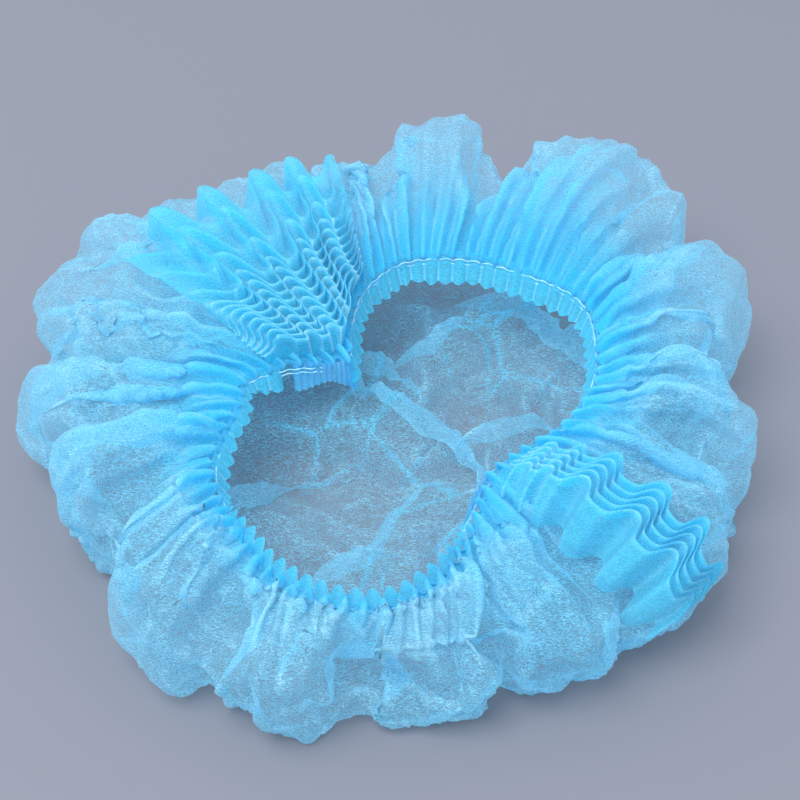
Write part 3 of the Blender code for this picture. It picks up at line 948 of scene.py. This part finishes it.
# The lobes at the front stand this high around one direction, for so many degrees to each side, and
# turn down over so many more
HEM_STAND = 0.0085
STAND_MIDDLE = 256
STAND_HALF = 26
STAND_END = 20
# First and last angle
HEM_FRONT = (160, 294)
HEM_BACK = (314, 494)
HEM_ROWS = 9
HEM_COLUMNS_A_DEGREE = 4


def rim_frame(angle):
    """The middle of the elastic and the level direction square to it, away from the opening."""
    here = place(angle, OPENING_REACH * section("rim", angle), RIM_HEIGHT * section("rim_height", angle))
    after = place(angle + 0.5, OPENING_REACH * section("rim", angle + 0.5), 0 * angle)
    before = place(angle - 0.5, OPENING_REACH * section("rim", angle - 0.5), 0 * angle)
    run = after - before
    outwards = np.stack([run[..., 1], -run[..., 0], 0 * angle], axis=-1)
    return here, outwards / np.linalg.norm(outwards, axis=-1, keepdims=True)


def hem_points(first, last):
    """The ruffle from one angle to another, from its root at the elastic to its free edge."""
    count = int((last - first) * HEM_COLUMNS_A_DEGREE)
    angle, down = np.meshgrid(np.linspace(first, last, count), np.linspace(0, 1, HEM_ROWS), indexing="ij")
    here, outwards = rim_frame(angle)
    flute = np.abs(np.cos(math.pi * RIM_PLEATS * rim_share(angle))) - 0.5
    lean = ROOT_INSIDE + HEM_LEAN * down**1.2 + HEM_SWING * 2 * flute * (0.25 + 0.75 * down)
    wobble = HEM_WOBBLE * noise_at(here + down[..., None] * 0.004, 0.008, 2.2)
    # Shorter beside the left weld
    tucked = 1 - 0.55 * bump(turn_between(angle, 185), 40)
    drop = (HEM_DROP * tucked + 0.0006 * flute + wobble) * down - ROOT_ABOVE
    stands = bump(np.maximum(0, np.abs(turn_between(angle, STAND_MIDDLE)) - STAND_HALF), STAND_END)
    lobe = 0.5 + 0.5 * (flute + 0.5) ** 0.4
    lean = mix(lean, 0.0002 + (0.0006 + 0.0026 * (flute + 0.3)) * down**0.5, stands)
    drop = mix(drop, 0.0025 - (HEM_STAND * lobe + 0.6 * wobble) * down, stands)
    return here - outwards * (lean + wobble)[..., None] - np.stack([0 * down, 0 * down, drop], axis=-1)


for name, ends in (("hem_front", HEM_FRONT), ("hem_back", HEM_BACK)):
    points = hem_points(*ends)
    hem = add_piece(name + "_cloth", points, grid_faces(points.shape[0], points.shape[1]))
    set_attribute(hem, "bunched", np.full(len(hem.data.vertices), 0.30))
    # Tight bends of the flutes painted paler: a painted highlight
    mark_bend_highlights_and_creases(hem, 0.0011)
    hem.data.materials.append(gathered_blue)
    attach(hem, "root")
    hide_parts(name)

# The elastic: two covered rubber threads, laid side by side into the cloth along each half of the rim
# while they are stretched. They draw the cloth up, and show through the hem's flutes as pale dotted
# lines.
THREAD_RADIUS = 0.00024
THREAD_SPACE = 0.0019
# How far they lie inside the rim and below the middle of its band
THREAD_INSIDE = 0.0020
THREAD_BELOW = 0.0026
THREAD_WAVE = 0.0003
THREAD_STEP = 0.0008
THREAD_SIDES = 8
THREAD_POINTS_A_DEGREE = 6
# Blue fibres cross a thread about every 1.4 mm
THREAD_DOTS_A_METRE = 700
# First and last angle
ELASTICS = {"elastic_front": (138, 310), "elastic_back": (314, 494)}


def thread_tree():
    """Geometry Nodes that lay a round thread of even thickness along a curve."""
    tree = bpy.data.node_groups.new("thread_along_a_curve", "GeometryNodeTree")
    tree.interface.new_socket("Path", in_out="INPUT", socket_type="NodeSocketGeometry")
    tree.interface.new_socket("Radius", in_out="INPUT", socket_type="NodeSocketFloat")
    tree.interface.new_socket("Step", in_out="INPUT", socket_type="NodeSocketFloat")
    tree.interface.new_socket("Sides", in_out="INPUT", socket_type="NodeSocketInt")
    tree.interface.new_socket("Material", in_out="INPUT", socket_type="NodeSocketMaterial")
    tree.interface.new_socket("Thread", in_out="OUTPUT", socket_type="NodeSocketGeometry")
    given = tree.nodes.new("NodeGroupInput").outputs
    even = add_node(
        tree, "GeometryNodeResampleCurve", {"mode": "LENGTH"}, Curve=given["Path"], Length=given["Step"]
    )
    ring = add_node(
        tree,
        "GeometryNodeCurvePrimitiveCircle",
        {"mode": "RADIUS"},
        Resolution=given["Sides"],
        Radius=given["Radius"],
    )
    laid = add_node(
        tree,
        "GeometryNodeCurveToMesh",
        inputs={"Fill Caps": True},
        Curve=even.outputs["Curve"],
        **{"Profile Curve": ring.outputs["Curve"]},
    )
    real = add_node(tree, "GeometryNodeRealizeInstances", Geometry=laid.outputs["Mesh"])
    dressed = add_node(
        tree, "GeometryNodeSetMaterial", Geometry=real.outputs["Geometry"], Material=given["Material"]
    )
    add_node(tree, "NodeGroupOutput", Thread=dressed.outputs["Geometry"])
    return tree


def add_threads(name, paths, tree, material):
    """One piece of the threads along several open paths."""
    curve = bpy.data.curves.new(name, "CURVE")
    curve.dimensions = "3D"
    for path in paths:
        spline = curve.splines.new("POLY")
        spline.points.add(len(path) - 1)
        spline.points.foreach_set("co", np.column_stack([path, np.ones(len(path))]).reshape(-1))
    guide = bpy.data.objects.new(name + "_path", curve)
    bpy.context.scene.collection.objects.link(guide)
    modifier = guide.modifiers.new("threads", "NODES")
    modifier.node_group = tree
    values = {"Radius": THREAD_RADIUS, "Step": THREAD_STEP, "Sides": THREAD_SIDES, "Material": material}
    for socket in tree.interface.items_tree:
        if socket.name in values:
            modifier[socket.identifier] = values[socket.name]
    graph = bpy.context.evaluated_depsgraph_get()
    mesh = bpy.data.meshes.new_from_object(guide.evaluated_get(graph))
    mesh.name = name
    mesh.shade_smooth()
    threads = bpy.data.objects.new(name, mesh)
    bpy.context.scene.collection.objects.link(threads)
    bpy.data.objects.remove(guide)
    return threads


def covered_rubber():
    """Rubber thread under a matt pale cover, dotted where blue fibres cross it."""
    material = bpy.data.materials.new("covered_rubber_thread")
    material.use_nodes = True
    tree = material.node_tree
    body = tree.nodes["Principled BSDF"]
    place_on = add_node(tree, "ShaderNodeTexCoord").outputs["Object"]
    crossing = add_node(
        tree, "ShaderNodeTexNoise", inputs={"Scale": THREAD_DOTS_A_METRE, "Detail": 1}, Vector=place_on
    )
    sharp = add_node(
        tree,
        "ShaderNodeMapRange",
        inputs={"From Min": 0.42, "From Max": 0.60, "To Min": 0, "To Max": 1},
        Value=crossing.outputs["Fac"],
    )
    tint = add_node(
        tree,
        "ShaderNodeMix",
        {"data_type": "RGBA"},
        {6: linear("#b4dff6"), 7: linear("#7fd4fa")},
        n0=sharp.outputs["Result"],
    )
    tree.links.new(tint.outputs[2], body.inputs["Base Color"])
    body.inputs["Roughness"].default_value = 0.6
    return material


thread_nodes = thread_tree()
thread_white = covered_rubber()
for name, (first, last) in ELASTICS.items():
    angle = np.linspace(first, last, int((last - first) * THREAD_POINTS_A_DEGREE))
    here, outwards = rim_frame(angle)
    ripple = THREAD_WAVE * np.cos(math.tau * RIM_PLEATS * rim_share(angle))
    paths = []
    for side in (-1, 1):
        shift = np.stack([0 * angle, 0 * angle, side * THREAD_SPACE / 2 + ripple - THREAD_BELOW], axis=-1)
        paths.append(here - outwards * THREAD_INSIDE + shift)
    threads = add_threads(name + "_threads", paths, thread_nodes, thread_white)
    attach(threads, "root")
    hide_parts(name)

# The welded ends: at each weld the pleats are melted together into a flat tab that hangs inside the
# opening beside the elastic. Pressing leaves it darker, smoother and finely ridged.
TAB_DROP = 0.0125
# Its corner hangs this much lower, and a ridge comes every TAB_RIDGE
TAB_CORNER = 0.0040
TAB_RIDGE = 0.0016
TAB_RIDGE_DEPTH = 0.0005
# It hangs this far inside the elastic from this far above it, leans further in below, and waves
TAB_INSIDE = 0.0022
TAB_ABOVE = 0.0012
TAB_LEAN = 0.0012
TAB_WAVE = 0.0010
# The whole way round at the tabs' reach
TAB_ROUND = 0.26
TAB_COLUMNS = 60
TAB_ROWS = 14
# First and last angle, and at which of them the corner is
TABS = {"end_tab_left": (132, 156, -1), "end_tab_right": (296, 311, 1)}
# The same cloth melted together, which leaves hardly a gap between its filaments
welded_blue = spunbond(
    "welded_polypropylene",
    "#56d0ff",
    "#40c4fc",
    # Painted highlight colour for tight bends, also laid on pressed creases
    "#c0f0ff",
    cover_gap=0.62,
    cover_fibre=0.92,
    crease_and_highlight_cover=0.3,
)
for name, (first, last, point_at_end) in TABS.items():
    along = np.linspace(first, last, TAB_COLUMNS)
    angle, down = np.meshgrid(along, np.linspace(0, 1, TAB_ROWS), indexing="ij")
    here, outwards = rim_frame(angle)
    share = (angle - first) / (last - first)
    tip = share if point_at_end > 0 else 1 - share
    ridge = TAB_RIDGE_DEPTH * np.cos(math.tau * share * (last - first) / 360 * TAB_ROUND / TAB_RIDGE)
    lean = TAB_INSIDE + TAB_LEAN * down + ridge + TAB_WAVE * np.sin(5 * share + 1.5 * down)
    drop = TAB_DROP * down * (0.86 + 0.14 * np.cos(7 * share))
    drop += TAB_CORNER * down * np.maximum(0, tip - 0.85) / 0.15
    lower = np.stack([0 * down, 0 * down, drop - TAB_ABOVE], axis=-1)
    points = here - outwards * lean[..., None] - lower
    tab = add_piece(name + "_weld", points, grid_faces(TAB_COLUMNS, TAB_ROWS))
    # Tight bends of the tab's ridges painted paler: a painted highlight
    mark_bend_highlights_and_creases(tab, 0.0006)
    tab.data.materials.append(welded_blue)
    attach(tab, "root")
    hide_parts(name)

# The floor, the light and the camera: a plain table of matt grey board, under even studio light and a
# softbox above it to the front left, seen from 45 degrees above the table.
FLOOR_SIDE = 4.0
ROOM_LIGHT = 1.22
CAMERA_AT = (0.0052, -0.4833, 0.5108)
CAMERA_DOWN = 45
CAMERA_LENS = 85
floor_mesh = bpy.data.meshes.new("floor")
half = FLOOR_SIDE / 2
corners = [(-half, -half, 0), (half, -half, 0), (half, half, 0), (-half, half, 0)]
floor_mesh.from_pydata(corners, [], [(0, 1, 2, 3)])
floor = bpy.data.objects.new("floor", floor_mesh)
bpy.context.scene.collection.objects.link(floor)
board = bpy.data.materials.new("matt_board")
board.use_nodes = True
board.node_tree.nodes["Principled BSDF"].inputs["Base Color"].default_value = linear("#777a83")
board.node_tree.nodes["Principled BSDF"].inputs["Roughness"].default_value = 0.9
floor_mesh.materials.append(board)

world = bpy.data.worlds.new("studio")
world.use_nodes = True
world.node_tree.nodes["Background"].inputs["Color"].default_value = linear("#eef3ff")
world.node_tree.nodes["Background"].inputs["Strength"].default_value = ROOM_LIGHT
bpy.context.scene.world = world


def add_softbox(name, place_at, aim, size, power):
    """A round softbox of so many metres and watts that faces a point."""
    lamp = bpy.data.lights.new(name, "AREA")
    lamp.shape = "DISK"
    lamp.size = size
    lamp.energy = power
    softbox = bpy.data.objects.new(name, lamp)
    softbox.location = place_at
    softbox.rotation_euler = (Vector(aim) - Vector(place_at)).to_track_quat("-Z", "Y").to_euler()
    bpy.context.scene.collection.objects.link(softbox)


add_softbox("softbox_above", place_at=(-0.5, -0.6, 1.7), aim=(0, 0, 0), size=1.2, power=30)

camera_data = bpy.data.cameras.new("camera")
camera_data.lens = CAMERA_LENS
camera = bpy.data.objects.new("camera", camera_data)
camera.location = CAMERA_AT
camera.rotation_euler = (math.radians(CAMERA_DOWN), 0, 0)
bpy.context.scene.collection.objects.link(camera)
bpy.context.scene.camera = camera
bpy.context.scene.view_settings.view_transform = "Standard"
bpy.context.scene.cycles.transparent_max_bounces = 10
bpy.context.scene.cycles.max_bounces = 4
bpy.context.scene.cycles.diffuse_bounces = 2
